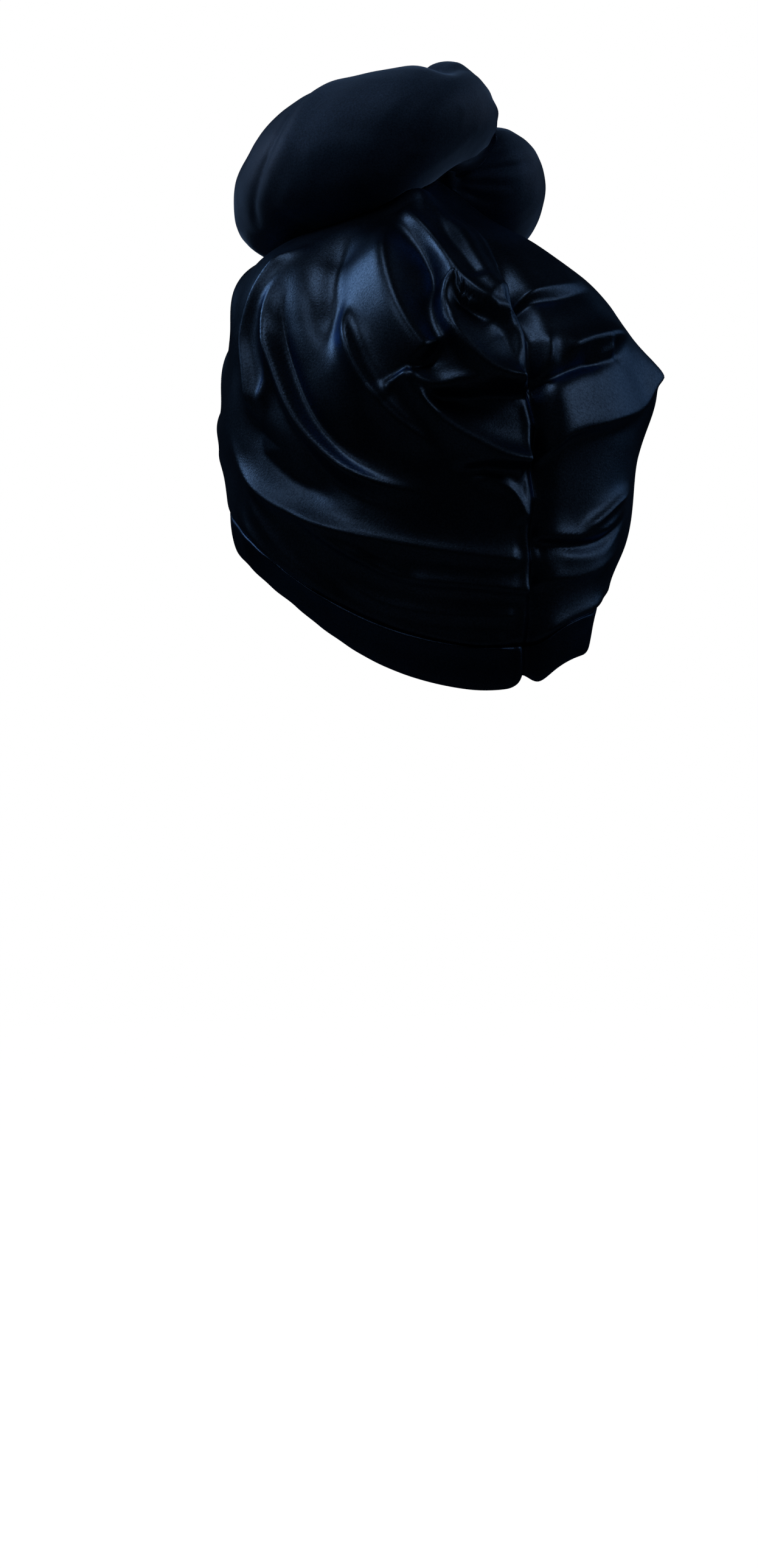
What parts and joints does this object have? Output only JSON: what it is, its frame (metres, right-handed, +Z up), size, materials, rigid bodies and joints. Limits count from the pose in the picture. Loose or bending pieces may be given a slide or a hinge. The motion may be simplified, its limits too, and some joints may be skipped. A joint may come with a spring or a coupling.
{
  "type": "turban headwrap",
  "caption": "Pre-tied velvet turban with a pleated cap, a centre-back seam, a folded hem and a stuffed coiled knot on top.",
  "frame": {"origin": "middle of the head opening: on the upright axis of the head, level with the hem's lowest edge at the nape", "axes": "+Z up out of the crown, the wearer faces -Y, +X is the wearer's left"},
  "size_m": [0.1694, 0.1949, 0.2595],
  "materials": {
    "cap_velvet": "dark navy stretch velvet with a silky sheen",
    "hem_velvet": "dark navy stretch velvet, folded double",
    "knot_velvet": "dark navy stretch velvet over soft stuffing"
  },
  "bodies": {
    "root": {"left_panel": "cap_velvet", "right_panel": "cap_velvet", "hem_left": "hem_velvet", "hem_right": "hem_velvet", "knot_over_roll": "knot_velvet", "knot_under_roll": "knot_velvet"}
  },
  "joints": []
}
